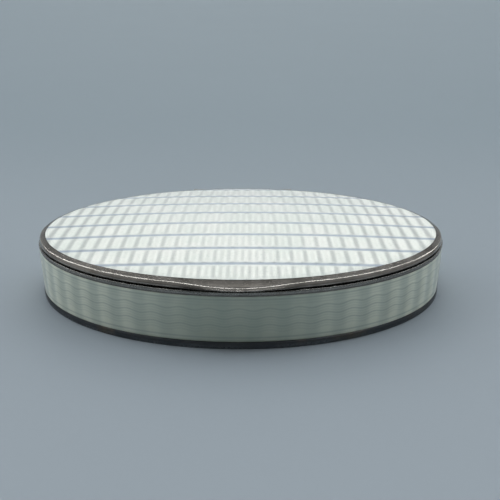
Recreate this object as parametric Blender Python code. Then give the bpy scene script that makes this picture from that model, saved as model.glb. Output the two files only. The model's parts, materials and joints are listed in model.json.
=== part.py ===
"""Oval hinged pill box: silver rims and plates, an enamelled lid and an enamelled wall.

Metres, +Z up. The long axis of the oval runs along X, the thumb-piece is at -Y, the hinge at +Y,
and the box stands on its foot rim at Z = 0, with the origin under the middle of its bounding box.
Every piece of the oval is drawn from one datum oval, the visible edge of the lid's enamel: a margin
is a distance outside that oval, and a negative margin is a distance inside it.
"""

import math

import bmesh
import bpy

# Overall size
BOX_LENGTH = 0.0600          # over the foot rim, along X
BOX_WIDTH = 0.03892          # over the foot rim, along Y
FOOT_PROUD = 0.00163         # how far the foot rim stands outside the datum oval
DATUM_A = BOX_LENGTH / 2 - FOOT_PROUD
DATUM_B = BOX_WIDTH / 2 - FOOT_PROUD
OVAL_SEGMENTS = 72
SEAT_GAP = 0.0003            # between pieces that rest against each other
MERGE_DISTANCE = 0.000001

# Foot rim and floor
FOOT_FLANGE = -0.0009        # margin of the inward flange that carries the floor
FOOT_TOP = 0.00072
FOOT_EDGE = 0.00016
FLOOR_UNDERSIDE = 0.00025
FLOOR_TOP = 0.00140

# Wall
WALL_BOTTOM = FOOT_TOP + SEAT_GAP
WALL_TOP = 0.0070
SILVER_THICKNESS = 0.0005
ENAMEL_THICKNESS = 0.0005
ENAMEL_MARGIN = 0.00128
ENAMEL_BACK = ENAMEL_MARGIN - ENAMEL_THICKNESS
BAND_MARGIN = ENAMEL_BACK - SEAT_GAP
BAND_INSIDE = BAND_MARGIN - SILVER_THICKNESS

# Body rim and the gilt bezel that the lid closes over
BODY_RIM_BOTTOM = WALL_TOP + SEAT_GAP
BODY_RIM_TOP = 0.00785
RIM_EDGE = 0.0001
BEZEL_THICKNESS = 0.0004
BEZEL_MARGIN = BAND_INSIDE - SEAT_GAP
BEZEL_INSIDE = BEZEL_MARGIN - BEZEL_THICKNESS
BEZEL_BOTTOM = 0.0046
BEZEL_TOP = 0.0083
SNAP_REACH = 0.00012         # the snap ridge pressed into the front of the bezel
SNAP_HALF_LENGTH = 0.006
SNAP_HEIGHT = 0.00806
SNAP_HALF_HEIGHT = 0.00012

# Lid
LID_RIM_BOTTOM = 0.0081
LID_EDGE = 0.00897           # height of the enamel's edge
LID_DOME = 0.00085           # rise of the dome from its edge to its middle
LID_RIM_MARGIN = 0.0011
RIDGE_MARGIN = 0.00102       # the rim's top face slopes down to a ridge
RIDGE_HEIGHT = 0.00858
LID_ENAMEL_THICKNESS = 0.0004
LID_PLATE_THICKNESS = 0.0004
DOME_STEPS = (1.0, 0.86, 0.66, 0.42, 0.16)

# Thumb-piece: the front of the lid rim swells forward
THUMB_REACH = 0.0008
THUMB_SPAN = (0.0005, 0.0062)  # the reach is full up to the first distance from the middle, 0 at the second
THUMB_UNDERCUT = 0.35        # share of the reach left at the rim's lower edge

# Hinge
KNUCKLE_COUNT = 5
KNUCKLE_LENGTH = 0.0032
KNUCKLE_RADIUS = 0.00065
KNUCKLE_BORE = 0.00038
KNUCKLE_SEGMENTS = 24
PIN_RADIUS = 0.0003
PIN_END = 0.0003             # how far the pin shows at each end
HINGE_HEIGHT = 0.00745
HINGE_LENGTH = KNUCKLE_COUNT * KNUCKLE_LENGTH + (KNUCKLE_COUNT - 1) * SEAT_GAP
SHELF_FLAT = HINGE_LENGTH / 2 + 0.0006
SHELF_END = SHELF_FLAT + 0.0028
HINGE_FROM_CENTRE = DATUM_B + ENAMEL_MARGIN + SEAT_GAP + KNUCKLE_RADIUS
LUG_HEIGHT = 0.00035         # the lug that joins a lid knuckle to the lid rim
LUG_BOTTOM = HINGE_HEIGHT + KNUCKLE_BORE + 0.00002

# The oval's centre, placed so that the whole box is centred on the origin
FRONT_REACH = DATUM_B + LID_RIM_MARGIN + THUMB_REACH
BACK_REACH = HINGE_FROM_CENTRE + KNUCKLE_RADIUS
OVAL_Y = (FRONT_REACH - BACK_REACH) / 2
HINGE_Y = OVAL_Y + HINGE_FROM_CENTRE

# Colour, roughness and metallic value of each finish
FINISHES = {
    "old_silver": ((0.36, 0.34, 0.32, 1.0), 0.34, 1.0),
    "turned_silver": ((0.72, 0.73, 0.74, 1.0), 0.28, 1.0),
    "gilt": ((0.80, 0.58, 0.28, 1.0), 0.30, 1.0),
    "lid_enamel": ((0.86, 0.91, 0.87, 1.0), 0.12, 0.0),
    "wall_enamel": ((0.44, 0.51, 0.47, 1.0), 0.15, 0.0),
    "pin_steel": ((0.45, 0.45, 0.46, 1.0), 0.30, 1.0),
}


def clear_scene():
    for old in list(bpy.data.objects):
        bpy.data.objects.remove(old, do_unlink=True)


def finish(name):
    """The Principled material called `name`, made once."""
    material = bpy.data.materials.get(name)
    if material is not None:
        return material
    colour, roughness, metallic = FINISHES[name]
    material = bpy.data.materials.new(name)
    material.use_nodes = True
    shader = material.node_tree.nodes["Principled BSDF"]
    shader.inputs["Base Color"].default_value = colour
    shader.inputs["Roughness"].default_value = roughness
    shader.inputs["Metallic"].default_value = metallic
    return material


def fade(distance, start, end):
    """1 up to `start`, falling smoothly to 0 at `end`."""
    step = min(max((distance - start) / (end - start), 0.0), 1.0)
    return 1.0 - step * step * (3.0 - 2.0 * step)


def place_on_oval(heading, margin, height, scale=1.0, front=0.0, front_span=THUMB_SPAN, shelf=False):
    """The point of the oval that lies towards `heading`, a direction on the unit circle.

    `front` pushes the middle of the front outwards, fading over `front_span`.
    `shelf` straightens the back over the hinge's length.
    """
    x = heading.x * (DATUM_A + margin) * scale
    y = heading.y * (DATUM_B + margin) * scale
    if y < 0.0:
        y -= front * fade(abs(x), *front_span)
    elif shelf:
        y += (DATUM_B + margin - y) * fade(abs(x), SHELF_FLAT, SHELF_END)
    return x, OVAL_Y + y, height


def place_on_tube(heading, radius, x):
    """The point of a circle round the hinge axis that lies towards `heading`."""
    return x, HINGE_Y + heading.x * radius, HINGE_HEIGHT + heading.y * radius


def sweep(place, section, segments, closed):
    """Extrude a loop of edges through the points of `section`, each drawn by `place`.

    A closed section runs back to its first point. An open one gets a flat cap at each end.
    """
    bm = bmesh.new()
    heading = bm.verts.layers.float_vector.new("heading")
    loop = bmesh.ops.create_circle(bm, segments=segments, radius=1.0)["verts"]
    edges = list(bm.edges)
    for vert in loop:
        vert[heading] = vert.co
        vert.co = place(vert[heading], **section[0])
    for point in section[1:] + section[:closed]:
        made = bmesh.ops.extrude_edge_only(bm, edges=edges)["geom"]
        edges = [item for item in made if isinstance(item, bmesh.types.BMEdge)]
        for vert in (item for item in made if isinstance(item, bmesh.types.BMVert)):
            vert.co = place(vert[heading], **point)
    if closed:
        bmesh.ops.remove_doubles(bm, verts=bm.verts, dist=MERGE_DISTANCE)
    else:
        bmesh.ops.holes_fill(bm, edges=bm.edges, sides=segments)
    bm.verts.layers.float_vector.remove(heading)
    bmesh.ops.recalc_face_normals(bm, faces=bm.faces)
    if bm.calc_volume(signed=True) < 0.0:
        bmesh.ops.reverse_faces(bm, faces=bm.faces)
    return bm


def add_piece(name, bm, finish_name, parent=None):
    """Make the bmesh an object. A child of the hinge axis keeps its place in the box."""
    mesh = bpy.data.meshes.new(name)
    bm.to_mesh(mesh)
    bm.free()
    mesh.materials.append(finish(finish_name))
    mesh.shade_smooth()
    mesh.set_sharp_from_angle(angle=math.radians(35))
    piece = bpy.data.objects.new(name, mesh)
    bpy.context.scene.collection.objects.link(piece)
    if parent is not None:
        piece.parent = parent
        piece.location = -parent.location
    return piece


def add_oval_ring(name, profile, finish_name, parent=None):
    """A ring whose cross-section is `profile`: place_on_oval's arguments, in order round it."""
    bm = sweep(place_on_oval, profile, OVAL_SEGMENTS, closed=True)
    return add_piece(name, bm, finish_name, parent)


def plain_section(inside, outside, bottom, top, chamfer=0.0):
    """A ring's rectangular cross-section, with its two outer corners cut by `chamfer`."""
    section = [
        {"margin": inside, "height": bottom},
        {"margin": inside, "height": top},
    ]
    if chamfer == 0.0:
        section.append({"margin": outside, "height": top})
        section.append({"margin": outside, "height": bottom})
        return section
    section.append({"margin": outside - chamfer, "height": top})
    section.append({"margin": outside, "height": top - chamfer})
    section.append({"margin": outside, "height": bottom + chamfer})
    section.append({"margin": outside - chamfer, "height": bottom})
    return section


def make_foot_rim():
    section = plain_section(FOOT_FLANGE, FOOT_PROUD, 0.0, FOOT_TOP, FOOT_EDGE)
    add_oval_ring("foot_rim", section, "old_silver")


def make_base_plate():
    """The floor: a stepped oval plate that drops into the foot rim's flange."""
    inner = FOOT_FLANGE - SEAT_GAP
    outer = BAND_INSIDE - SEAT_GAP
    section = [
        {"margin": inner, "height": FLOOR_UNDERSIDE},
        {"margin": inner, "height": WALL_BOTTOM},
        {"margin": outer, "height": WALL_BOTTOM},
        {"margin": outer, "height": FLOOR_TOP},
    ]
    bm = sweep(place_on_oval, section, OVAL_SEGMENTS, closed=False)
    add_piece("base_plate", bm, "gilt")


def make_wall():
    band = plain_section(BAND_INSIDE, BAND_MARGIN, WALL_BOTTOM, WALL_TOP)
    enamel = plain_section(ENAMEL_BACK, ENAMEL_MARGIN, WALL_BOTTOM, WALL_TOP)
    add_oval_ring("wall_band", band, "turned_silver")
    add_oval_ring("wall_enamel", enamel, "wall_enamel")


def make_body_rim():
    section = plain_section(BAND_INSIDE, ENAMEL_MARGIN, BODY_RIM_BOTTOM, BODY_RIM_TOP, RIM_EDGE)
    for point in section[2:]:
        point["shelf"] = True
    add_oval_ring("body_rim", section, "old_silver")


def make_bezel():
    """The gilt collar that stands up inside the lid rim, with a snap ridge at its front."""
    snap = (0.0, SNAP_HALF_LENGTH)
    section = [
        {"margin": BEZEL_INSIDE, "height": BEZEL_BOTTOM},
        {"margin": BEZEL_INSIDE, "height": BEZEL_TOP},
        {"margin": BEZEL_MARGIN, "height": BEZEL_TOP},
        {"margin": BEZEL_MARGIN, "height": SNAP_HEIGHT + SNAP_HALF_HEIGHT},
        {"margin": BEZEL_MARGIN, "height": SNAP_HEIGHT, "front": SNAP_REACH, "front_span": snap},
        {"margin": BEZEL_MARGIN, "height": SNAP_HEIGHT - SNAP_HALF_HEIGHT},
        {"margin": BEZEL_MARGIN, "height": BEZEL_BOTTOM},
    ]
    add_oval_ring("bezel", section, "gilt")


def make_lid_rim(axis):
    """The lid's frame: a sloping top face, a ridge and a short side.

    The thumb-piece is one with it, and its lower edge runs out to the hinge as a low shelf.
    """
    undercut = THUMB_REACH * THUMB_UNDERCUT
    side_top = RIDGE_HEIGHT - RIM_EDGE
    section = [
        {"margin": 0.0, "height": LID_RIM_BOTTOM},
        {"margin": 0.0, "height": LID_EDGE},
        {"margin": RIDGE_MARGIN, "height": RIDGE_HEIGHT, "front": THUMB_REACH},
        {"margin": LID_RIM_MARGIN, "height": side_top, "front": THUMB_REACH},
        {"margin": LID_RIM_MARGIN, "height": LID_RIM_BOTTOM + RIM_EDGE, "front": undercut, "shelf": True},
        {"margin": LID_RIM_MARGIN - RIM_EDGE, "height": LID_RIM_BOTTOM, "front": undercut, "shelf": True},
    ]
    add_oval_ring("lid_rim", section, "old_silver", axis)


def make_domed_plate(name, margin, edge_height, thickness, finish_name, axis):
    """An oval plate of even thickness that rises to LID_DOME in its middle."""
    under = []
    over = []
    for scale in DOME_STEPS:
        height = edge_height + LID_DOME * (1.0 - scale * scale)
        under.append({"margin": margin, "height": height - thickness, "scale": scale})
        over.append({"margin": margin, "height": height, "scale": scale})
    bm = sweep(place_on_oval, under[::-1] + over, OVAL_SEGMENTS, closed=False)
    add_piece(name, bm, finish_name, axis)


def knuckle_tube(start, end):
    section = [
        {"radius": KNUCKLE_RADIUS, "x": start},
        {"radius": KNUCKLE_RADIUS, "x": end},
        {"radius": KNUCKLE_BORE, "x": end},
        {"radius": KNUCKLE_BORE, "x": start},
    ]
    return sweep(place_on_tube, section, KNUCKLE_SEGMENTS, closed=True)


def add_lug(knuckle, start, end, axis):
    """Join the lug that reaches from a lid knuckle to the lid rim's shelf."""
    front = OVAL_Y + DATUM_B + LID_RIM_MARGIN + SEAT_GAP
    lengths = (end - start, HINGE_Y - front, LUG_HEIGHT)
    centre = ((start + end) / 2, (HINGE_Y + front) / 2, LUG_BOTTOM + LUG_HEIGHT / 2)
    bm = bmesh.new()
    bmesh.ops.create_cube(bm, size=1.0)
    for vert in bm.verts:
        vert.co = [middle + part * length for middle, part, length in zip(centre, vert.co, lengths)]
    lug = add_piece(knuckle.name + "_lug_shape", bm, "old_silver", axis)
    lug.hide_render = True
    lug.display_type = "WIRE"
    union = knuckle.modifiers.new("lug", "BOOLEAN")
    union.operation = "UNION"
    union.solver = "EXACT"
    union.object = lug


def make_hinge(axis):
    """Knuckles in turn on the box and on the lid, along one pin."""
    names = (
        "body_knuckle_left",
        "lid_knuckle_left",
        "body_knuckle_middle",
        "lid_knuckle_right",
        "body_knuckle_right",
    )
    for index, name in enumerate(names):
        start = -HINGE_LENGTH / 2 + index * (KNUCKLE_LENGTH + SEAT_GAP)
        end = start + KNUCKLE_LENGTH
        bm = knuckle_tube(start, end)
        if name.startswith("lid"):
            knuckle = add_piece(name, bm, "old_silver", axis)
            add_lug(knuckle, start, end, axis)
        else:
            add_piece(name, bm, "old_silver")
    reach = HINGE_LENGTH / 2 + PIN_END
    section = [{"radius": PIN_RADIUS, "x": -reach}, {"radius": PIN_RADIUS, "x": reach}]
    bm = sweep(place_on_tube, section, KNUCKLE_SEGMENTS, closed=False)
    add_piece("hinge_pin", bm, "pin_steel")


def make_hinge_axis():
    """The empty that the lid's pieces hang on: turning it about X opens the lid."""
    axis = bpy.data.objects.new("lid_axis", None)
    axis.location = (0.0, HINGE_Y, HINGE_HEIGHT)
    bpy.context.scene.collection.objects.link(axis)
    return axis


def main():
    clear_scene()
    make_foot_rim()
    make_base_plate()
    make_wall()
    make_body_rim()
    make_bezel()
    axis = make_hinge_axis()
    make_lid_rim(axis)
    make_domed_plate("lid_enamel", -SEAT_GAP, LID_EDGE, LID_ENAMEL_THICKNESS, "lid_enamel", axis)
    plate_edge = LID_EDGE - LID_ENAMEL_THICKNESS - SEAT_GAP
    plate_margin = BEZEL_INSIDE - SEAT_GAP
    make_domed_plate("lid_plate", plate_margin, plate_edge, LID_PLATE_THICKNESS, "turned_silver", axis)
    make_hinge(axis)


main()
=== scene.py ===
"""An oval pill box in silver and translucent enamel over engine turning.

The frame gives the sizes. Every oval piece is swept round one datum oval, the visible edge of the
lid's enamel: a margin is a distance outside that oval, in metres, and a negative one is inside it.
"""

import json
import math

import bmesh
import bpy
from mathutils import Matrix, Vector, noise


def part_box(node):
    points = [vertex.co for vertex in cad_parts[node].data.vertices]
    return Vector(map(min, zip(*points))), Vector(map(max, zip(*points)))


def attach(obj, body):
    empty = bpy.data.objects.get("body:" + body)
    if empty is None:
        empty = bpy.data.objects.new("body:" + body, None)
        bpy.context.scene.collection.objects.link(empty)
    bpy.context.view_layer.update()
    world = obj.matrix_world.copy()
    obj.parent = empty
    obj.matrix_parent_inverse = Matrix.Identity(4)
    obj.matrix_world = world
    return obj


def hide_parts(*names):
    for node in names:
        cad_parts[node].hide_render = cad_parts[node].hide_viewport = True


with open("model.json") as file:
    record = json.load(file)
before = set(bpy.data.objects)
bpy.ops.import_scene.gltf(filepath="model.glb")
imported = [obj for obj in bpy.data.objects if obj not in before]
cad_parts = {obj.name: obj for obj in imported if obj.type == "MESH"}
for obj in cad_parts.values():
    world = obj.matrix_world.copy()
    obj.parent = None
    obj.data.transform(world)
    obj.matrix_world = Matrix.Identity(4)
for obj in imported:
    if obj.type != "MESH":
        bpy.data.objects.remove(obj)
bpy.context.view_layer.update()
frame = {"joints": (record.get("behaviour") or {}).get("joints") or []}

MM = 0.001

# Levels and widths that the frame states
foot_low, foot_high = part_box("foot_rim")
wall_low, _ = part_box("wall_enamel")
rim_low, rim_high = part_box("body_rim")
bezel_low, bezel_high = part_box("bezel")
floor_low, floor_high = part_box("base_plate")
frame_low, frame_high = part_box("lid_rim")
_, glaze_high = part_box("lid_enamel")
plate_low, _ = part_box("lid_plate")
pin_low, pin_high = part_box("hinge_pin")
knuckle_low, knuckle_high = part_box("body_knuckle_left")
HINGE = Vector(frame["joints"][0]["pos_m"])

# How far the foot, the wall and the lid stand outside the datum oval
FOOT_PROUD = 1.63 * MM
WALL_PROUD = 1.28 * MM
LID_PROUD = 1.10 * MM

# The datum oval and the lid that is built on it
OVAL_Y = (foot_low.y + foot_high.y) / 2
DATUM_A = (foot_high.x - foot_low.x) / 2 - FOOT_PROUD
DATUM_B = (foot_high.y - foot_low.y) / 2 - FOOT_PROUD
ENAMEL_WIDE = 0.25 * MM
ENAMEL_A = DATUM_A + ENAMEL_WIDE
LID_EDGE = frame_high.z
LID_DOME = glaze_high.z - LID_EDGE
GLAZE_SEAT = LID_EDGE - 0.42 * MM
THUMB_REACH = OVAL_Y - DATUM_B - LID_PROUD - frame_low.y

# The turning engine's settings: the lid's flutes, the rows that cut across them, and the wall's lines
FLUTE_PITCH = 1.83 * MM
FLUTE_CREST = 0.865 * MM
FLUTE_DEPTH = 0.145 * MM
FLUTE_RELIEF = 0.03 * MM
ROW_PITCH = 4.40 * MM
ROW_OFFSET = -0.55 * MM
ROW_HALF = 0.36 * MM
ROW_DEPTH = 0.07 * MM
FLUTE_REST = 1.05 * MM
BORDER = 0.70 * MM
WAVE_COUNT = 50
WAVE_RISE = 0.20 * MM
RIB_DEPTH = 0.06 * MM
LINE_PITCH = 0.38 * MM
LINE_DEPTH = 0.015 * MM

STEPS_PER_WAVE = 8
STEPS = WAVE_COUNT * STEPS_PER_WAVE


# ---------------------------------------------------------------- sweeping round the oval

def fade(distance, start, end):
    """1 up to `start`, falling smoothly to 0 at `end`."""
    step = min(max((distance - start) / (end - start), 0.0), 1.0)
    return 1.0 - step * step * (3.0 - 2.0 * step)


class Stop:
    """One corner of a cross-section.

    scale shrinks the oval towards its middle, and wide lengthens it at both ends. front swells it
    forward and sink lowers it at the thumb-piece, and shelf straightens its back along the hinge.
    shade is a value that the finish reads: on silver, rubbed wear above 0 and painted shade below 0,
    the gilt lining on the wall's band, and the depth of a cut line on enamel. dent is the depth of
    its knocks, and turned is the share of the wall's wavy turning that it follows.
    """

    def __init__(
        self, margin, height, scale=1.0, wide=0.0, front=0.0, sink=0.0, shelf=0.0,
        shade=0.0, dent=0.0, turned=0.0,
    ):
        self.margin = margin
        self.height = height
        self.scale = scale
        self.wide = wide
        self.front = front
        self.sink = sink
        self.shelf = shelf
        self.shade = shade
        self.dent = dent
        self.turned = turned


THUMB_END = 9.4 * MM
SHELF_FLAT = 9.2 * MM
SHELF_END = 12.0 * MM
KNOCK_SIZE = 1.7 * MM
NICK_SIZE = 0.45 * MM


def place(heading, stop):
    """The point of a Stop that lies in the direction `heading` from the oval's middle."""
    x = heading.x * (DATUM_A + stop.margin + stop.wide) * stop.scale
    y = heading.y * (DATUM_B + stop.margin) * stop.scale
    z = stop.height
    if y < 0.0:
        y -= stop.front * fade(abs(x), 0.0, THUMB_END)
        z -= stop.sink * fade(abs(x), 0.0, THUMB_END)
    else:
        y += stop.shelf * (DATUM_B + stop.margin - y) * fade(abs(x), SHELF_FLAT, SHELF_END)
    point = Vector((x, OVAL_Y + y, z))
    if stop.turned:
        wave = math.cos(WAVE_COUNT * math.atan2(heading.x, -heading.y))
        outward = Vector((heading.x / DATUM_A, heading.y / DATUM_B, 0.0)).normalized()
        point += outward * RIB_DEPTH * wave * stop.turned
        point.z += WAVE_RISE * wave * stop.turned
    if stop.dent:
        outward = Vector((heading.x, heading.y, 0.6)).normalized()
        point += outward * stop.dent * hand_wear(point)
    return point


def hand_wear(point):
    """Small knocks and flats, between -1 and 0.4, that are the same each run."""
    broad = noise.noise(point / KNOCK_SIZE)
    fine = noise.noise(point / NICK_SIZE + Vector((7.0, 3.0, 1.0)))
    return min(0.4, 0.7 * broad + 0.5 * fine)


def girth():
    """The distance round the datum oval."""
    corners = [math.tau * step / STEPS for step in range(STEPS + 1)]
    points = [Vector((DATUM_A * math.cos(angle), DATUM_B * math.sin(angle))) for angle in corners]
    return sum((after - before).length for before, after in zip(points, points[1:]))


GIRTH = girth()


def face_outwards(bm):
    """Turn every face of a closed shape outwards."""
    bmesh.ops.recalc_face_normals(bm, faces=bm.faces)
    if bm.calc_volume(signed=True) < 0.0:
        bmesh.ops.reverse_faces(bm, faces=bm.faces)


def sweep_oval(section, closed):
    """Extrude a loop round the oval through every Stop of `section`.

    A closed section returns to its first Stop, and an open one ends in two poles, of scale 0.
    U of the piece's map is the distance round the oval and V the distance along the section.
    """
    bm = bmesh.new()
    heading = bm.verts.layers.float_vector.new("heading")
    turn = bm.verts.layers.float.new("turn")
    travel = bm.verts.layers.float.new("travel")
    shade = bm.verts.layers.float.new("shade")
    circle = bmesh.ops.create_circle(bm, segments=STEPS, radius=1.0)["verts"]
    edges = list(bm.edges)
    for index, vert in enumerate(circle):
        vert[heading] = vert.co
        vert[turn] = index / STEPS
    stops = section + section[:1] if closed else section
    distance = 0.0
    previous = stops[0]
    ring = circle
    for number, stop in enumerate(stops):
        if number:
            made = bmesh.ops.extrude_edge_only(bm, edges=edges)["geom"]
            edges = [item for item in made if isinstance(item, bmesh.types.BMEdge)]
            ring = [item for item in made if isinstance(item, bmesh.types.BMVert)]
        across = stop.margin - previous.margin + (stop.scale - previous.scale) * DATUM_B
        distance += math.hypot(across, stop.height - previous.height)
        previous = stop
        for vert in ring:
            vert.co = place(vert[heading], stop)
            vert[travel] = distance
            vert[shade] = stop.shade
    lay_map(bm, turn, travel)
    bmesh.ops.remove_doubles(bm, verts=bm.verts, dist=1e-7)
    bm.verts.layers.float_vector.remove(bm.verts.layers.float_vector["heading"])
    bm.verts.layers.float.remove(bm.verts.layers.float["turn"])
    bm.verts.layers.float.remove(bm.verts.layers.float["travel"])
    face_outwards(bm)
    return bm


def lay_map(bm, turn, travel):
    """Unroll the sweep on to a map in metres, carried past its seam where a face crosses it."""
    uv = bm.loops.layers.uv.new("turned")
    for face in bm.faces:
        turns = [loop.vert[turn] for loop in face.loops]
        wraps = max(turns) - min(turns) > 0.5
        for loop, share in zip(face.loops, turns):
            if wraps and share < 0.5:
                share += 1.0
            loop[uv].uv = (share * GIRTH, loop.vert[travel])


def arc(margin, height, radius, start, end, steps=5, **features):
    """Stops round a corner, from angle `start` to `end` in degrees. 0 is outwards and 90 is up."""
    stops = []
    for step in range(steps + 1):
        angle = math.radians(start + (end - start) * step / steps)
        out = margin + radius * math.cos(angle)
        stops.append(Stop(out, height + radius * math.sin(angle), **features))
    return stops


def add_piece(name, bm, finish, body, nodes, crease=32.0):
    """Make a finished piece of the bmesh, on its body, in place of its CAD nodes."""
    mesh = bpy.data.meshes.new(name)
    bm.to_mesh(mesh)
    bm.free()
    mesh.materials.append(finish)
    mesh.shade_smooth()
    mesh.set_sharp_from_angle(angle=math.radians(crease))
    piece = bpy.data.objects.new(name, mesh)
    bpy.context.scene.collection.objects.link(piece)
    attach(piece, body)
    if nodes:
        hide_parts(*nodes)
    return piece


# ---------------------------------------------------------------- finishes

BROWN_STAIN = (0.24, 0.185, 0.11, 1.0)
DEEP_GOLD = (0.66, 0.43, 0.17, 1.0)
PALE_GOLD = (0.84, 0.62, 0.31, 1.0)
PITTED_GOLD = (0.38, 0.24, 0.11, 1.0)
BRIGHT_SILVER = (0.78, 0.79, 0.80, 1.0)
DULL_MILK = (0.77, 0.80, 0.74, 1.0)
CLEAR_MILK = (0.84, 0.845, 0.79, 1.0)
SPECKED_MILK = (0.60, 0.66, 0.60, 1.0)
BORDER_BLUE = (0.42, 0.50, 0.52, 1.0)
ROW_BLUE = (0.31, 0.37, 0.45, 1.0)
DEEP_GREEN = (0.47, 0.53, 0.43, 1.0)
PALE_GREEN = (0.56, 0.60, 0.49, 1.0)
END_LIGHT_GREEN = (0.92, 0.95, 0.79, 1.0)
TROUGH_GREEN = (0.33, 0.42, 0.37, 1.0)
GROOVE_GREEN = (0.26, 0.33, 0.29, 1.0)
PAPER_COOL = (0.288, 0.324, 0.355, 1.0)
PAPER_PALE = (0.300, 0.337, 0.369, 1.0)
PAPER_FAR_SHADE = (0.220, 0.268, 0.297, 1.0)


class Mixer:
    """Short names for the nodes that the finishes and the light share."""

    def __init__(self, tree):
        self.tree = tree

    def feed(self, socket, value):
        """Link a socket to `socket`, or set a plain value on it."""
        if isinstance(value, bpy.types.NodeSocket):
            self.tree.links.new(value, socket)
        elif value is not None:
            socket.default_value = value

    def sum(self, operation, first, second=None):
        node = self.tree.nodes.new("ShaderNodeMath")
        node.operation = operation
        self.feed(node.inputs[0], first)
        self.feed(node.inputs[1], second)
        return node.outputs[0]

    def plus(self, first, second):
        return self.sum("ADD", first, second)

    def minus(self, first, second):
        return self.sum("SUBTRACT", first, second)

    def times(self, first, second):
        return self.sum("MULTIPLY", first, second)

    def coordinates(self, kind):
        """A point in the named coordinates, and its X, Y and Z."""
        node = self.tree.nodes.new("ShaderNodeTexCoord")
        split = self.tree.nodes.new("ShaderNodeSeparateXYZ")
        self.feed(split.inputs[0], node.outputs[kind])
        return node.outputs[kind], split.outputs

    def vector(self, operation, first, second=None):
        node = self.tree.nodes.new("ShaderNodeVectorMath")
        node.operation = operation
        self.feed(node.inputs[0], first)
        self.feed(node.inputs[1], second)
        return node.outputs[0]

    def stretch(self, vector, scale):
        mapping = self.tree.nodes.new("ShaderNodeMapping")
        self.feed(mapping.inputs["Vector"], vector)
        mapping.inputs["Scale"].default_value = scale
        return mapping.outputs[0]

    def grain(self, vector, scale, detail, roughness):
        """Noise with `scale` features a metre."""
        node = self.tree.nodes.new("ShaderNodeTexNoise")
        self.feed(node.inputs["Vector"], vector)
        node.inputs["Scale"].default_value = scale
        node.inputs["Detail"].default_value = detail
        node.inputs["Roughness"].default_value = roughness
        return node.outputs["Fac"]

    def shade(self):
        """The shade that the piece's Stops carry."""
        node = self.tree.nodes.new("ShaderNodeAttribute")
        node.attribute_name = "shade"
        return node.outputs["Fac"]

    def band(self, value, start, end, low=0.0, high=1.0):
        """`value` from start to end, eased to low to high."""
        node = self.tree.nodes.new("ShaderNodeMapRange")
        node.interpolation_type = "SMOOTHSTEP"
        self.feed(node.inputs["Value"], value)
        node.inputs["From Min"].default_value = start
        node.inputs["From Max"].default_value = end
        node.inputs["To Min"].default_value = low
        node.inputs["To Max"].default_value = high
        return node.outputs[0]

    def mix(self, share, first, second):
        """The first colour, with a share of the second."""
        node = self.tree.nodes.new("ShaderNodeMix")
        node.data_type = "RGBA"
        self.feed(node.inputs["Factor"], share)
        self.feed(node.inputs[6], first)
        self.feed(node.inputs[7], second)
        return node.outputs[2]


class Finish(Mixer):
    """A material being mixed."""

    def __init__(self, name):
        self.material = bpy.data.materials.new(name)
        self.material.use_nodes = True
        super().__init__(self.material.node_tree)
        self.shader = self.tree.nodes["Principled BSDF"]

    def relief(self, height):
        """A normal from a height in metres."""
        node = self.tree.nodes.new("ShaderNodeBump")
        node.inputs["Strength"].default_value = 1.0
        node.inputs["Distance"].default_value = 1.0
        self.feed(node.inputs["Height"], height)
        return node.outputs[0]

    def done(self, **sockets):
        """The material, with the shader's sockets fed."""
        for name, value in sockets.items():
            self.feed(self.shader.inputs[name.replace("_", " ")], value)
        return self.material


def worn_silver(name, clean, tarnish, bright_share, gloss):
    """Old polished silver: thin tarnish, hair scratches round the box, bright where it rubs, and darker
    where its shade paints shade.
    """
    mix = Finish(name)
    spot, _ = mix.coordinates("Object")
    along, _ = mix.coordinates("UV")
    patches = mix.grain(spot, 330.0, 4.0, 0.55)
    specks = mix.grain(spot, 5200.0, 3.0, 0.65)
    hairs = mix.grain(mix.stretch(along, (220.0, 15000.0, 1.0)), 1.0, 2.0, 0.6)
    # The piece's shade above 0 brightens the silver as rubbed wear, and below 0 darkens it as painted
    # shade
    rub_and_painted_shade = mix.times(mix.shade(), bright_share)
    clean_and_shade = mix.plus(mix.band(patches, 0.30, 0.70, 0.22, 0.54), rub_and_painted_shade)
    clean_and_shade = mix.plus(clean_and_shade, mix.band(specks, 0.50, 0.72, -0.06, 0.10))
    clean_and_shade = mix.plus(clean_and_shade, mix.band(hairs, 0.35, 0.65, -0.12, 0.12))
    clean_and_shade = mix.sum("MINIMUM", mix.sum("MAXIMUM", clean_and_shade, 0.0), 1.0)
    colour = mix.mix(clean_and_shade, tarnish, clean)
    stain = mix.band(mix.grain(spot, 150.0, 4.0, 0.55), 0.54, 0.76, 0.0, 0.40)
    colour = mix.mix(stain, colour, BROWN_STAIN)
    rough = mix.minus(gloss + 0.12, mix.times(clean_and_shade, 0.12))
    rough = mix.plus(rough, mix.band(specks, 0.45, 0.72, -0.03, 0.10))
    height = mix.times(hairs, 0.0016 * MM)
    height = mix.plus(height, mix.times(specks, 0.0022 * MM))
    return mix.done(Base_Color=colour, Metallic=1.0, Roughness=rough, Normal=mix.relief(height))


def cloudy_gold(mix, spot):
    """Gold that deepens and pales in soft clouds."""
    cloud = mix.grain(spot, 260.0, 4.0, 0.55)
    return mix.mix(mix.band(cloud, 0.35, 0.68), DEEP_GOLD, PALE_GOLD)


def satin_gilding(name):
    """Fire gilding with a brushed grain, rubbed thin in places."""
    mix = Finish(name)
    spot, _ = mix.coordinates("Object")
    brush = mix.grain(mix.stretch(spot, (700.0, 14000.0, 9000.0)), 1.0, 3.0, 0.6)
    pits = mix.grain(spot, 5200.0, 2.0, 0.6)
    colour = mix.mix(mix.band(pits, 0.60, 0.74, 0.0, 0.45), cloudy_gold(mix, spot), PITTED_GOLD)
    rough = mix.band(brush, 0.3, 0.7, 0.24, 0.40)
    height = mix.times(brush, 0.003 * MM)
    height = mix.plus(height, mix.times(pits, 0.0015 * MM))
    return mix.done(Base_Color=colour, Metallic=1.0, Roughness=rough, Normal=mix.relief(height))


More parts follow.
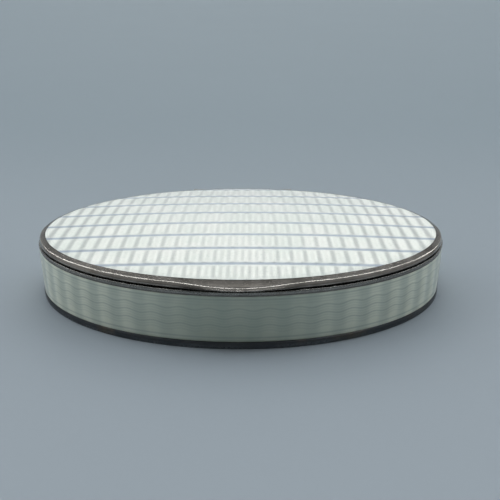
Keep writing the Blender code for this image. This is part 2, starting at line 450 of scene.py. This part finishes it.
def gilt_lined_silver(name):
    """The wall's silver: engine-turned and bright outside, gilded inside, where shade is 1."""
    mix = Finish(name)
    spot, _ = mix.coordinates("Object")
    colour = mix.mix(mix.shade(), BRIGHT_SILVER, cloudy_gold(mix, spot))
    brush = mix.grain(mix.stretch(spot, (900.0, 900.0, 15000.0)), 1.0, 3.0, 0.6)
    rough = mix.band(brush, 0.3, 0.7, 0.24, 0.38)
    height = mix.times(brush, 0.003 * MM)
    return mix.done(Base_Color=colour, Metallic=1.0, Roughness=rough, Normal=mix.relief(height))


def wave(mix, distance, pitch):
    """The cosine of a distance that repeats every `pitch`."""
    return mix.sum("COSINE", mix.times(distance, math.tau / pitch))


def near_line(mix, distance, pitch, offset, width, core=0.25):
    """1 on the lines that lie every `pitch` from `offset`, and 0 farther than `width` from them."""
    moved = mix.minus(distance, offset - 0.5 * pitch)
    share = mix.sum("FLOORED_MODULO", moved, pitch)
    away = mix.sum("ABSOLUTE", mix.minus(share, 0.5 * pitch))
    return mix.band(away, core * width, width, 1.0, 0.0)


def glassy_face(mix, slope, rise):
    """The normal of the polished glass, which is smooth however the silver under it is cut."""
    spot, _ = mix.coordinates("Object")
    centred = mix.vector("SUBTRACT", spot, (0.0, OVAL_Y, 0.0))
    leaning = mix.vector("ADD", mix.vector("MULTIPLY", centred, slope), (0.0, 0.0, rise))
    turn = mix.tree.nodes.new("ShaderNodeVectorTransform")
    turn.vector_type = "NORMAL"
    turn.convert_from = "OBJECT"
    turn.convert_to = "WORLD"
    mix.feed(turn.inputs[0], mix.vector("NORMALIZE", leaning))
    return turn.outputs[0]


def opal_lid_enamel(name):
    """Milky enamel over flutes that run from back to front, cut across by seven straight lines."""
    mix = Finish(name)
    spot, axes = mix.coordinates("Object")
    across = mix.minus(axes[1], OVAL_Y)
    flutes = wave(mix, mix.minus(axes[0], FLUTE_CREST), FLUTE_PITCH)
    row = near_line(mix, across, ROW_PITCH, ROW_OFFSET, ROW_HALF * 1.5)
    rest = near_line(mix, across, ROW_PITCH, ROW_OFFSET, FLUTE_REST, 0.1)
    fine = wave(mix, axes[0], FLUTE_PITCH / 7)
    speck = mix.grain(spot, 3000.0, 3.0, 0.7)
    cloud = mix.grain(spot, 170.0, 3.0, 0.5)
    steady = mix.minus(1.0, mix.times(rest, 0.60))
    flutes = mix.times(flutes, steady)
    height = mix.times(flutes, FLUTE_DEPTH - FLUTE_RELIEF)
    height = mix.plus(height, mix.times(fine, 0.0012 * MM))
    height = mix.plus(height, mix.times(speck, 0.014 * MM))
    milk = mix.mix(mix.band(cloud, 0.35, 0.65), DULL_MILK, CLEAR_MILK)
    milk = mix.mix(mix.band(speck, 0.50, 0.68, 0.0, 0.50), milk, SPECKED_MILK)
    milk = mix.mix(mix.times(mix.shade(), 0.5), milk, BORDER_BLUE)
    colour = mix.mix(mix.times(row, 0.9), milk, ROW_BLUE)
    slope = (2 * LID_DOME / ENAMEL_A ** 2, 2 * LID_DOME / DATUM_B ** 2, 0.0)
    return mix.done(
        Base_Color=colour,
        Metallic=0.26,
        Roughness=0.20,
        Normal=mix.relief(height),
        Coat_Weight=0.7,
        Coat_Roughness=0.05,
        Coat_IOR=1.5,
        Coat_Normal=glassy_face(mix, slope, 1.0),
    )


def grey_wall_enamel(name):
    """Grey-green enamel over the wall's wavy lines, with painted light that pales it towards the ends."""
    mix = Finish(name)
    spot, axes = mix.coordinates("Object")
    groove = mix.shade()
    _, round_box = mix.coordinates("UV")
    trough = mix.band(wave(mix, round_box[0], GIRTH / WAVE_COUNT), 1.0, -1.0)
    speck = mix.grain(spot, 4200.0, 3.0, 0.6)
    cloud = mix.grain(mix.stretch(spot, (1.0, 1.0, 0.5)), 240.0, 3.0, 0.5)
    height = mix.times(speck, 0.004 * MM)
    glass = mix.mix(mix.band(cloud, 0.3, 0.7), DEEP_GREEN, PALE_GREEN)
    # Painted light: the enamel is mixed paler towards the wall's ends
    ends = mix.band(mix.sum("ABSOLUTE", axes[0]), 0.05 * DATUM_A, 0.65 * DATUM_A, 0.0, 0.9)
    glass = mix.mix(ends, glass, END_LIGHT_GREEN)
    # Troughs darken where the enamel lies deeper, and more towards the ends as painted shade
    depth = mix.plus(mix.times(ends, 0.20), 0.20)
    glass = mix.mix(mix.times(trough, depth), glass, TROUGH_GREEN)
    colour = mix.mix(mix.times(groove, 0.45), glass, GROOVE_GREEN)
    return mix.done(
        Base_Color=colour,
        Metallic=0.18,
        Roughness=0.36,
        Normal=mix.relief(height),
        Coat_Weight=0.8,
        Coat_Roughness=0.04,
        Coat_IOR=1.5,
        Coat_Normal=glassy_face(mix, (1.0 / DATUM_A ** 2, 1.0 / DATUM_B ** 2, 0.0), 0.0),
    )


# ---------------------------------------------------------------- pieces of the box

def make_foot_ring(silver):
    """The moulded foot: an inward flange under the floor, and a rounded edge proud of the wall."""
    top = wall_low.z - 0.15 * MM
    shoulder = 0.42 * MM
    flange = -0.9 * MM
    edge = 0.08 * MM
    drawn_in = -0.28 * MM
    section = [Stop(flange, foot_low.z + 0.02 * MM), Stop(flange, floor_low.z + 0.45 * MM)]
    section.append(Stop(WALL_PROUD - 0.60 * MM, floor_low.z + 0.50 * MM))
    section.append(Stop(WALL_PROUD - 0.58 * MM, top - 0.05 * MM))
    # The shoulder's shade below 0 darkens it as painted shade; the bottom edge's shade above 0 is rubbed
    # wear
    section.append(Stop(WALL_PROUD + 0.02 * MM, top - 0.02 * MM, shade=-0.8))
    for share in (0.25, 0.5, 0.75):
        slope = math.radians(90.0 * share)
        out = WALL_PROUD + (FOOT_PROUD - WALL_PROUD) * math.sin(slope)
        down = top - shoulder * (1.0 - math.cos(slope))
        section.append(Stop(out, down, shade=-0.8, dent=0.004 * MM))
    section.append(Stop(FOOT_PROUD, top - shoulder, shade=-0.4, dent=0.006 * MM))
    section += arc(FOOT_PROUD - edge, foot_low.z + edge, edge, 0, -90, shade=0.2)
    for stop in section[5:]:
        stop.wide = drawn_in
    add_piece("foot_ring", sweep_oval(section, True), silver, "box", ["foot_rim"])


def make_floor(gilt):
    """The floor, stepped to sit in the foot and filleted where it meets the wall."""
    inner = -0.95 * MM
    outer = -0.05 * MM
    ledge = wall_low.z - 0.22 * MM
    top = floor_high.z
    section = [Stop(inner, floor_low.z, scale=0.0)]
    section += [Stop(inner, floor_low.z, scale=share) for share in (0.3, 0.6, 0.9, 1.0)]
    section += [Stop(inner, ledge), Stop(outer, ledge), Stop(outer, top + 0.25 * MM)]
    section += arc(outer - 0.3 * MM, top + 0.28 * MM, 0.28 * MM, 0, -90)
    section += [Stop(outer - 0.3 * MM, top, scale=share) for share in (0.9, 0.6, 0.3, 0.0)]
    add_piece("floor_plate", sweep_oval(section, False), gilt, "box", ["base_plate"])


def make_wall(lined, glass):
    """The wall's silver band, and its enamel with a plain border above and below the waves."""
    bottom = wall_low.z - 0.18 * MM
    top = rim_low.z - 0.02 * MM
    band_back = -0.02 * MM
    band_face = WALL_PROUD - 0.52 * MM
    section = [Stop(band_back, bottom, shade=1.0), Stop(band_back, top, shade=1.0)]
    section += [Stop(band_face, top), Stop(band_face, bottom)]
    add_piece("wall_silver", sweep_oval(section, True), lined, "box", ["wall_band"])
    edge = 0.06 * MM
    section = [Stop(band_face + 0.01 * MM, bottom), Stop(band_face + 0.01 * MM, top)]
    section += arc(WALL_PROUD - edge, top - edge, edge, 90, 0, 3)
    border = 3 * LINE_PITCH
    gap = WAVE_RISE + 0.06 * MM
    start = top - 0.25 * MM - border - gap
    end = wall_low.z + 0.25 * MM + LINE_PITCH + gap
    section += turned_lines(start + border + gap, 3, 0.0)
    section += turned_lines(start, math.floor((start - end) / LINE_PITCH), 1.0)
    section += turned_lines(end - gap, 1, 0.0)
    section += arc(WALL_PROUD - edge, bottom + edge, edge, 0, -90, 3)
    add_piece("wall_glaze", sweep_oval(section, True), glass, "box", ["wall_enamel"], 75.0)


def turned_lines(start, count, turned):
    """Stops down a run of engine-turned lines: straight where `turned` is 0, and wavy where it is 1."""
    stops = [Stop(WALL_PROUD, start, turned=turned)]
    for number in range(count):
        strength = 0.45 if number % 3 else 1.0
        for quarter, share in ((1, 0.5), (2, 1.0), (3, 0.5), (4, 0.0)):
            depth = share * strength
            height = start - (number + quarter / 4) * LINE_PITCH
            stops.append(Stop(WALL_PROUD - LINE_DEPTH * depth, height, shade=depth, turned=turned))
    return stops


def make_body_rim(silver):
    """The silver edge of the wall, with a straight shelf at the back for the knuckles."""
    edge = 0.12 * MM
    top = rim_high.z + 0.04 * MM
    section = [Stop(-0.02 * MM, rim_low.z), Stop(-0.02 * MM, top)]
    section += arc(WALL_PROUD - edge, top - edge, edge, 90, 0, shelf=1.0, shade=0.1, dent=0.003 * MM)
    section.append(Stop(WALL_PROUD, rim_low.z + 0.20 * MM, shelf=1.0, shade=0.3))
    # The lower step's shade below 0 darkens it as painted shade
    section.append(Stop(WALL_PROUD - 0.06 * MM, rim_low.z + 0.17 * MM, shelf=1.0, shade=-0.6))
    section.append(Stop(WALL_PROUD - 0.06 * MM, rim_low.z, shelf=1.0, shade=-0.6))
    add_piece("body_edge", sweep_oval(section, True), silver, "box", ["body_rim"])


def make_bezel(gilt):
    """The collar that stands up inside the lid, rolled at its top and pressed out at its front."""
    collar = -0.32 * MM
    inside = -0.72 * MM
    roll = 0.2 * MM
    snap_height = 8.06 * MM
    section = [Stop(inside, bezel_low.z), Stop(inside, bezel_high.z - roll)]
    section += arc(collar - roll, bezel_high.z - roll, roll, 180, 0, 8, shade=1.0)
    section.append(Stop(collar, snap_height, front=0.12 * MM, shade=1.0))
    section.append(Stop(collar, rim_high.z + 0.02 * MM))
    section.append(Stop(-0.03 * MM, rim_high.z - 0.02 * MM))
    section.append(Stop(-0.03 * MM, bezel_low.z + 0.1 * MM))
    section.append(Stop(-0.2 * MM, bezel_low.z))
    add_piece("bezel_collar", sweep_oval(section, True), gilt, "box", ["bezel"])


# ---------------------------------------------------------------- pieces of the lid

def make_lid_frame(silver):
    """The lid's silver frame: a sloping face, a rubbed ridge, a short side and the thumb-piece."""
    ridge = 0.66 * MM
    ridge_height = LID_EDGE - 0.26 * MM
    roll = 0.24 * MM
    bottom = frame_low.z
    swell = THUMB_REACH + LID_PROUD - ridge - 0.32 * MM
    thumb_sink = 0.12 * MM
    # A shade below 0 at the inner edge, on the slope and underneath darkens the silver as painted shade;
    # on the ridge the shade is rubbed wear
    section = [Stop(0.0, bottom + 0.03 * MM), Stop(0.0, GLAZE_SEAT)]
    section.append(Stop(0.0, GLAZE_SEAT, wide=ENAMEL_WIDE))
    section.append(Stop(0.0, LID_EDGE + 0.01 * MM, wide=ENAMEL_WIDE, shade=-0.5))
    for share in (0.3, 0.5, 0.7, 0.85, 1.0):
        section.append(Stop(
            ridge * share, LID_EDGE + (ridge_height - LID_EDGE) * share, wide=ENAMEL_WIDE,
            front=swell * share ** 2, sink=thumb_sink * share ** 2, shade=-0.1 + 0.3 * share ** 6,
            dent=0.004 * MM + 0.010 * MM * share ** 4,
        ))
    roll_start = math.radians(68)
    for angle in (60, 52, 40):
        turn = math.radians(angle)
        out = ridge + roll * (math.cos(turn) - math.cos(roll_start))
        down = ridge_height - roll * (math.sin(roll_start) - math.sin(turn))
        shade = 1.0 if angle > 45 else 0.1
        section.append(Stop(
            out, down, wide=ENAMEL_WIDE, front=swell, sink=thumb_sink, shade=shade, dent=0.026 * MM,
        ))
    out = LID_PROUD - 0.06 * MM
    down = ridge_height - 0.26 * MM
    section.append(Stop(out, down, front=THUMB_REACH + 0.05 * MM, sink=thumb_sink * 0.6, shade=0.1))
    down = ridge_height - 0.36 * MM
    section.append(Stop(
        LID_PROUD, down, front=THUMB_REACH, sink=thumb_sink * 0.5, shade=0.05, dent=0.006 * MM,
    ))
    section.append(Stop(
        LID_PROUD, bottom + 0.16 * MM, front=THUMB_REACH * 0.5, sink=0.10 * MM, shelf=1.0,
    ))
    section += arc(
        LID_PROUD - 0.08 * MM, bottom + 0.08 * MM, 0.08 * MM, 0, -90, 4,
        front=THUMB_REACH * 0.4, sink=0.10 * MM, shelf=1.0, shade=-0.2,
    )
    add_piece("lid_frame", sweep_oval(section, True), silver, "lid", ["lid_rim"])


def dome(margin, edge_height, scale, **features):
    """A Stop on the lid's dome, `scale` of the way from its middle to its edge."""
    return Stop(margin, edge_height + LID_DOME * (1.0 - scale * scale), scale=scale, **features)


def lid_height(x, y):
    """The height of the lid's polished dome."""
    return LID_EDGE + LID_DOME * (1.0 - (x / ENAMEL_A) ** 2 - ((y - OVAL_Y) / DATUM_B) ** 2)


def stations(pitch, offset, reach, shares):
    """Places along a line: every share of each pitch, out to `reach` on both sides."""
    first = math.floor((-reach - offset) / pitch)
    last = math.floor((reach - offset) / pitch)
    return [offset + pitch * (number + share) for number in range(first, last + 1) for share in shares]


def turned_slab():
    """A slab whose top is fluted and cut across by rows of V grooves, larger than the lid."""
    rim = ROW_HALF / ROW_PITCH
    columns = stations(FLUTE_PITCH, FLUTE_CREST, ENAMEL_A, [step / 8 for step in range(8)])
    shares = [0.0, rim / 2, rim, 0.2, 0.4, 0.6, 0.8, 1 - rim, 1 - rim / 2]
    rows = stations(ROW_PITCH, ROW_OFFSET, DATUM_B, shares)
    bm = bmesh.new()
    bmesh.ops.create_grid(bm, x_segments=len(columns) - 1, y_segments=len(rows) - 1, size=1.0)
    for vert in bm.verts:
        x = columns[round((vert.co.x + 1.0) / 2.0 * (len(columns) - 1))]
        y = rows[round((vert.co.y + 1.0) / 2.0 * (len(rows) - 1))]
        flute = 0.5 * math.cos(math.tau * (x - FLUTE_CREST) / FLUTE_PITCH) - 0.5
        away = abs((y - ROW_OFFSET + ROW_PITCH / 2) % ROW_PITCH - ROW_PITCH / 2)
        groove = max(0.0, 1.0 - away / ROW_HALF)
        relief = 2.0 * FLUTE_RELIEF * flute * (1.0 - fade(away, 0.3 * ROW_HALF, FLUTE_REST))
        depth = relief - ROW_DEPTH * groove
        inset = DATUM_B * (1.0 - math.hypot(x / ENAMEL_A, y / DATUM_B))
        depth *= 1.0 - fade(inset, BORDER, BORDER + 0.4 * MM)
        vert.co = (x, OVAL_Y + y, lid_height(x, OVAL_Y + y) + depth)
    under = bmesh.ops.extrude_face_region(bm, geom=list(bm.faces), use_keep_orig=True)["geom"]
    for vert in [item for item in under if isinstance(item, bmesh.types.BMVert)]:
        vert.co.z = plate_low.z
    face_outwards(bm)
    return bm


def shared_volume(first, second):
    """What two closed shapes have in common."""
    blanks = []
    for bm in (first, second):
        mesh = bpy.data.meshes.new("blank")
        bm.to_mesh(mesh)
        bm.free()
        blanks.append(bpy.data.objects.new("blank", mesh))
        bpy.context.scene.collection.objects.link(blanks[-1])
    cut = blanks[0].modifiers.new("cut", "BOOLEAN")
    cut.operation = "INTERSECT"
    cut.solver = "MANIFOLD"
    cut.object = blanks[1]
    shared = bmesh.new()
    shared.from_object(blanks[0], bpy.context.evaluated_depsgraph_get())
    for blank in blanks:
        mesh = blank.data
        bpy.data.objects.remove(blank)
        bpy.data.meshes.remove(mesh)
    return shared


def make_lid_glaze(enamel):
    """The lid's enamel, turned inside a narrow plain border."""
    under = LID_EDGE - 0.40 * MM
    above = LID_EDGE + 2.0 * MM
    shares = [step / 14 for step in range(15)]
    blank = [dome(-BORDER, under, share, wide=ENAMEL_WIDE) for share in shares]
    blank += [Stop(-BORDER, above, scale=share, wide=ENAMEL_WIDE) for share in (1.0, 0.6, 0.0)]
    turned = shared_volume(turned_slab(), sweep_oval(blank, False))
    assert max(vert.co.z for vert in turned.verts) < glaze_high.z + 0.01 * MM
    add_piece("lid_glaze", turned, enamel, "lid", ["lid_enamel"], 60.0)
    margin = -0.01 * MM
    edge = 0.05 * MM
    section = [Stop(-BORDER, under), Stop(margin, under), Stop(margin, LID_EDGE - edge)]
    section += arc(margin - edge, LID_EDGE - edge, edge, 0, 70, 3)
    line_dip = 0.02
    for inset, dip in (
        (0.16, 0.0), (0.26, 0.0), (0.30, line_dip), (0.34, 0.0),
        (0.45, 0.0), (0.60, 0.0), (0.66, line_dip),
    ):
        share = 1.0 - inset * MM / DATUM_B
        rise = LID_DOME * (1.0 - share * share)
        section.append(Stop(margin - inset * MM, LID_EDGE + rise - dip * MM, shade=dip / line_dip))
    section.append(Stop(-BORDER, LID_EDGE - 0.01 * MM + LID_DOME * (1.0 - (1.0 - BORDER / DATUM_B) ** 2)))
    for stop in section:
        stop.wide = ENAMEL_WIDE
    add_piece("lid_border", sweep_oval(section, True), enamel, "lid", [], 60.0)


def make_lid_plate(gilt):
    """The plate under the lid's enamel, gilded and stepped on the side that faces into the box."""
    step_margin = -1.02 * MM
    outer = -0.02 * MM
    flange = LID_EDGE - 0.52 * MM
    shares = [step / 12 for step in range(13)]
    section = [dome(step_margin, plate_low.z, share) for share in shares]
    section += arc(step_margin - 0.12 * MM, plate_low.z + 0.12 * MM, 0.12 * MM, -60, 0, 3)
    section += [Stop(step_margin, flange), Stop(outer, flange), Stop(outer, GLAZE_SEAT)]
    section += [dome(outer, GLAZE_SEAT, share) for share in shares[-2::-1]]
    add_piece("lid_lining", sweep_oval(section, False), gilt, "lid", ["lid_plate"])


# ---------------------------------------------------------------- hinge

KNUCKLE_STEPS = 40
KNUCKLE_RADIUS = (knuckle_high.z - knuckle_low.z) / 2 - 0.02 * MM
BORE = 0.38 * MM


def tube(bm, start, end, radius, bore, bevel):
    """A tube along the hinge line with softened ends."""
    rings = [
        (radius - bevel, start), (radius, start + bevel), (radius, end - bevel), (radius - bevel, end),
        (bore, end), (bore, start),
    ]
    circle = bmesh.ops.create_circle(bm, segments=KNUCKLE_STEPS, radius=1.0)["verts"]
    made = set(circle)
    edges = list({edge for vert in circle for edge in vert.link_edges})
    directions = {vert: vert.co.copy() for vert in circle}
    sweep_ring(circle, directions, *rings[0])
    for size, x in rings[1:] + rings[:1]:
        geometry = bmesh.ops.extrude_edge_only(bm, edges=edges)["geom"]
        edges = [item for item in geometry if isinstance(item, bmesh.types.BMEdge)]
        ring = [item for item in geometry if isinstance(item, bmesh.types.BMVert)]
        for vert in ring:
            offset = vert.co - HINGE
            offset.x = 0.0
            directions[vert] = Vector((offset.y, offset.z, 0.0)).normalized()
        sweep_ring(ring, directions, size, x)
        made.update(ring)
    bmesh.ops.remove_doubles(bm, verts=list(made), dist=1e-7)


def sweep_ring(ring, directions, radius, x):
    """Put a ring of the tube at `x`, each point in its own direction from the hinge line."""
    for vert in ring:
        toward = directions[vert]
        vert.co = Vector((x, HINGE.y + toward.x * radius, HINGE.z + toward.y * radius))


def block(bm, low, high, bevel):
    """A bevelled block between two corners."""
    made = bmesh.ops.create_cube(bm, size=1.0)["verts"]
    for vert in made:
        vert.co = Vector(low) + Vector([(part + 0.5) * (b - a) for part, a, b in zip(vert.co, low, high)])
    edges = list({edge for vert in made for edge in vert.link_edges})
    bmesh.ops.bevel(bm, geom=edges, offset=bevel, affect="EDGES", segments=2, profile=0.5, material=-1)


def make_knuckle(node, body, silver):
    """A knuckle, and the small block that joins it to the lid's frame or the wall's edge."""
    low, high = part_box(node)
    bm = bmesh.new()
    start, end = low.x - 0.1 * MM, high.x + 0.1 * MM
    tube(bm, start, end, KNUCKLE_RADIUS, BORE, 0.06 * MM)
    inset = 0.25 * MM
    if body == "lid":
        seat = OVAL_Y + DATUM_B + LID_PROUD - 0.15 * MM
        corner = (start + inset, seat, HINGE.z + BORE + 0.02 * MM)
        far_corner = (end - inset, HINGE.y - 0.05 * MM, frame_low.z + 0.16 * MM)
    else:
        seat = OVAL_Y + DATUM_B + WALL_PROUD - 0.1 * MM
        corner = (start + inset, seat, HINGE.z - 0.12 * MM)
        far_corner = (end - inset, HINGE.y - KNUCKLE_RADIUS + 0.2 * MM, rim_high.z - 0.06 * MM)
    block(bm, corner, far_corner, 0.05 * MM)
    face_outwards(bm)
    add_piece(node.replace("knuckle", "barrel"), bm, silver, body, [node])


def make_pin(steel):
    """The hinge pin, with softened ends."""
    radius = (pin_high.z - pin_low.z) / 2
    length = pin_high.x - pin_low.x - 0.2 * MM
    bm = bmesh.new()
    bmesh.ops.create_cone(
        bm, cap_ends=True, segments=24, radius1=radius, radius2=radius, depth=length,
        matrix=Matrix.Translation(HINGE) @ Matrix.Rotation(math.pi / 2, 4, "Y"),
    )
    ends = [edge for edge in bm.edges if abs(edge.verts[0].co.x - edge.verts[1].co.x) < radius / 2]
    bmesh.ops.bevel(bm, geom=ends, offset=0.1 * MM, affect="EDGES", segments=3, profile=0.5, material=-1)
    face_outwards(bm)
    add_piece("pin_wire", bm, steel, "box", ["hinge_pin"])


# ---------------------------------------------------------------- floor, light and camera

def make_table():
    """A sheet of blue-grey paper, with painted shade that darkens it behind the box."""
    mix = Finish("table_paper")
    spot, axes = mix.coordinates("Object")
    tooth = mix.grain(spot, 900.0, 4.0, 0.6)
    cloud = mix.grain(spot, 9.0, 2.0, 0.5)
    colour = mix.mix(mix.band(cloud, 0.3, 0.7), PAPER_COOL, PAPER_PALE)
    # Painted shade: the paper darkens behind the box
    colour = mix.mix(mix.band(axes[1], -0.02, 0.12, 0.0, 0.75), colour, PAPER_FAR_SHADE)
    height = mix.times(tooth, 0.01 * MM)
    paper = mix.done(Base_Color=colour, Roughness=0.75, Normal=mix.relief(height))
    bm = bmesh.new()
    bmesh.ops.create_grid(bm, x_segments=2, y_segments=2, size=6.0)
    mesh = bpy.data.meshes.new("table")
    bm.to_mesh(mesh)
    bm.free()
    mesh.materials.append(paper)
    table = bpy.data.objects.new("table", mesh)
    bpy.context.scene.collection.objects.link(table)


def add_lamp(name, tilt, swing, spread, power, colour):
    """A round lamp far off, that is never mirrored.

    It stands `tilt` degrees behind straight overhead and `swing` degrees to the right, and it is
    `spread` degrees across.
    """
    lamp = bpy.data.lights.new(name, "SUN")
    lamp.energy = power
    lamp.angle = math.radians(spread)
    lamp.color = colour
    lamp_at = bpy.data.objects.new(name, lamp)
    lamp_at.rotation_euler = (-math.radians(tilt), math.radians(swing), 0.0)
    lamp_at.visible_glossy = False
    bpy.context.scene.collection.objects.link(lamp_at)


def light_studio():
    """Soft lamps above, left and right, and a room with a pale window and a bowed strip light."""
    world = bpy.data.worlds.new("studio")
    bpy.context.scene.world = world
    world.use_nodes = True
    mix = Mixer(world.node_tree)
    _, axes = mix.coordinates("Generated")
    away = mix.sum("ABSOLUTE", axes[0])
    beside = mix.band(away, 0.28, 0.44, 1.0, 0.0)
    behind = mix.band(axes[1], 0.1, 0.4)
    sill = mix.band(axes[2], 0.0, 0.12)
    brighter = mix.band(axes[2], 0.05, 0.62, 0.42, 1.16)
    above = mix.times(brighter, mix.band(axes[2], 0.68, 0.80, 1.0, 0.0))
    window = mix.times(mix.times(beside, behind), mix.times(sill, above))
    bow = mix.minus(axes[1], mix.times(mix.times(away, away), 0.9))
    strip = mix.band(mix.sum("ABSOLUTE", mix.minus(bow, 0.03)), 0.02, 0.06, 1.0, 0.0)
    strip = mix.times(strip, mix.band(away, 0.72, 0.80, 1.0, 0.0))
    strip = mix.times(strip, mix.band(axes[2], 0.2, 0.3, 0.0, 9.0))
    room = mix.plus(mix.band(axes[1], -0.9, 0.1, 0.135, 0.35), strip)
    backdrop = world.node_tree.nodes["Background"]
    mix.feed(backdrop.inputs["Color"], mix.mix(window, (0.87, 0.94, 1.0, 1.0), (0.97, 1.0, 0.98, 1.0)))
    mix.feed(backdrop.inputs["Strength"], mix.plus(mix.times(window, 0.80), room))
    add_lamp("soft_lamp", 27.0, 0.0, 58.0, 0.64, (1.0, 0.995, 0.98))
    add_lamp("left_lamp", 8.0, -66.0, 50.0, 0.74, (1.0, 1.0, 0.97))
    add_lamp("right_lamp", 8.0, 66.0, 50.0, 0.48, (1.0, 1.0, 0.97))


VIEW_PITCH = math.radians(23.75)
VIEW_DISTANCE = 92.7 * MM
VIEW_RIGHT = 1.346 * MM
VIEW_DOWN = 3.525 * MM
LENS = 44.9


def set_camera():
    """A camera that looks down on the lid's middle from the front."""
    forward = Vector((0.0, math.cos(VIEW_PITCH), -math.sin(VIEW_PITCH)))
    up = Vector((0.0, math.sin(VIEW_PITCH), math.cos(VIEW_PITCH)))
    middle = Vector((0.0, OVAL_Y, LID_EDGE))
    lens = bpy.data.cameras.new("camera")
    lens.lens = LENS
    lens.clip_start = 0.005
    camera = bpy.data.objects.new("camera", lens)
    camera.location = middle - forward * VIEW_DISTANCE + Vector((VIEW_RIGHT, 0.0, 0.0)) - up * VIEW_DOWN
    camera.rotation_euler = (math.pi / 2 - VIEW_PITCH, 0.0, 0.0)
    bpy.context.scene.collection.objects.link(camera)
    bpy.context.scene.camera = camera
    bpy.context.scene.view_settings.view_transform = "Standard"


def main():
    frame_silver = worn_silver(
        "frame_silver", clean=(0.74, 0.67, 0.59, 1.0), tarnish=(0.135, 0.118, 0.103, 1.0),
        bright_share=0.65, gloss=0.11,
    )
    # The foot's silver is darker and bluer than the frame's: oxidised silver with painted shade and a
    # painted blue floor reflection
    shaded_foot_silver = worn_silver(
        "shaded_foot_silver", clean=(0.24, 0.25, 0.25, 1.0), tarnish=(0.08, 0.085, 0.09, 1.0),
        bright_share=0.50, gloss=0.22,
    )
    edge_silver = worn_silver(
        "edge_silver", clean=(0.42, 0.40, 0.36, 1.0), tarnish=(0.16, 0.155, 0.145, 1.0),
        bright_share=0.50, gloss=0.20,
    )
    gilt = satin_gilding("satin_gilding")
    make_foot_ring(shaded_foot_silver)
    make_floor(gilt)
    make_wall(gilt_lined_silver("gilt_lined_silver"), grey_wall_enamel("grey_wall_enamel"))
    make_body_rim(edge_silver)
    make_bezel(gilt)
    make_lid_frame(frame_silver)
    make_lid_glaze(opal_lid_enamel("opal_lid_enamel"))
    make_lid_plate(gilt)
    for node in ("body_knuckle_left", "body_knuckle_middle", "body_knuckle_right"):
        make_knuckle(node, "box", frame_silver)
    for node in ("lid_knuckle_left", "lid_knuckle_right"):
        make_knuckle(node, "lid", frame_silver)
    make_pin(shaded_foot_silver)
    make_table()
    light_studio()
    set_camera()


main()
